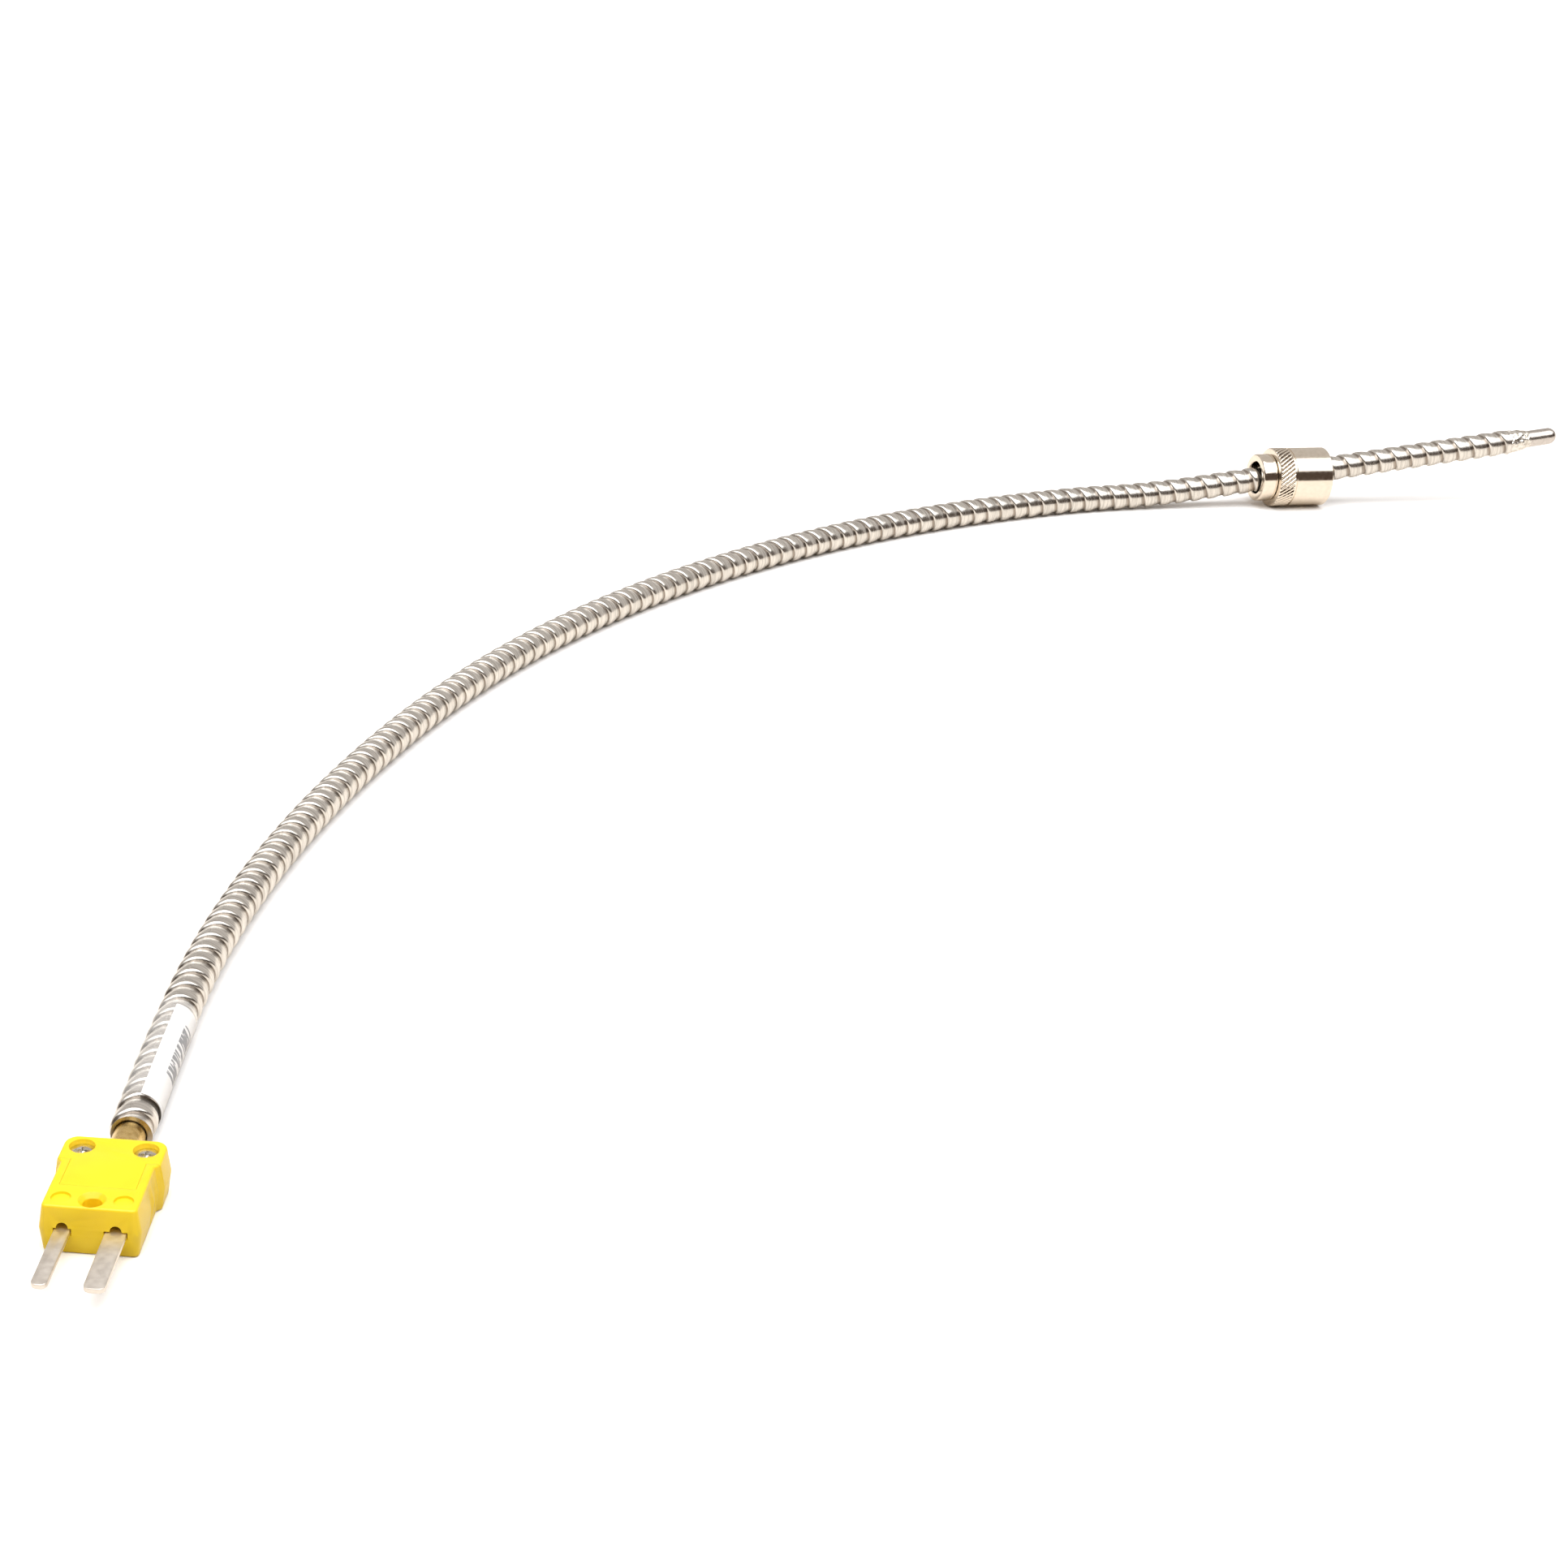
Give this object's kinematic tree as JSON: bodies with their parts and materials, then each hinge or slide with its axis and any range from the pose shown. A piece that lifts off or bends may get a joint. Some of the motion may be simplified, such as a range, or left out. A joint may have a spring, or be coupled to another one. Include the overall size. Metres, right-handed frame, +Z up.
{
  "type": "thermocouple",
  "caption": "Armoured bayonet thermocouple: a flexible metal-armoured lead with a round probe tip, a sliding bayonet cap and a two-blade miniature plug.",
  "frame": {"origin": "centre of the bayonet cap's open mouth, on the cap's axis", "axes": "+X along the cap's axis towards the probe tip, +Z up; the bench the thermocouple lies on is at z = -8.3 mm"},
  "size_m": [0.4261, 0.3737, 0.0215],
  "materials": {
    "armour_steel": "strip-wound stainless steel, bright with fine drawing lines",
    "tip_steel": "smooth drawn stainless steel",
    "braze": "rough bright silver braze",
    "nickel": "warm nickel plating over brass, knurled at the back",
    "ring_steel": "plain spring steel",
    "plug_yellow": "moulded yellow thermoset, satin",
    "blade_metal": "satin thermocouple alloy blade",
    "brass": "plain turned brass",
    "screw_steel": "zinc plated steel",
    "label_white": "white printed label film",
    "sleeve_clear": "clear heat-shrink film",
    "wire_metal": "drawn thermocouple alloy wire",
    "insulation_yellow": "yellow braided glass-fibre insulation",
    "insulation_red": "red braided glass-fibre insulation",
    "ceramic": "unglazed alumina"
  },
  "bodies": {
    "probe_and_lead": {"armour_lead": "armour_steel", "probe_armour": "armour_steel", "probe_tip": "tip_steel", "probe_braze": "braze", "tip_insulator": "ceramic", "junction_bead": "wire_metal", "heat_shrink_sleeve": "sleeve_clear", "wire_label": "label_white", "plug_body": "plug_yellow", "plug_cover": "plug_yellow", "terminal_washers": "screw_steel", "cover_nuts": "screw_steel", "brass_adapter": "brass", "conductor_positive": "wire_metal", "conductor_negative": "wire_metal", "insulation_positive": "insulation_yellow", "insulation_negative": "insulation_red", "cover_screws": "screw_steel", "terminal_screws": "screw_steel", "pin_positive": "blade_metal", "pin_negative": "blade_metal"},
    "cap_carrier": {"thrust_washer": "ring_steel"},
    "collar": {"cap_collar": "nickel", "snap_ring": "ring_steel"},
    "shell": {"cap_shell": "nickel"}
  },
  "joints": [
    {"name": "cap_travel", "type": "slide", "parent": "probe_and_lead", "child": "cap_carrier", "axis": [0.9914, 0, 0.1305], "range_m": [-0.016, 0.055]},
    {"name": "collar_screw", "type": "hinge", "parent": "cap_carrier", "child": "collar", "pos_m": [-0.015, 0, 0], "axis": [1, 0, 0], "range_deg": [-1240, 4230]},
    {"name": "cap_swivel", "type": "hinge", "parent": "cap_carrier", "child": "shell", "pos_m": [-0.0075, 0, 0], "axis": [1, 0, 0], "continuous": true}
  ],
  "couplings": [
    {"joint": "collar_screw", "follows": "cap_travel", "rad_per_m": 1336.8}
  ]
}
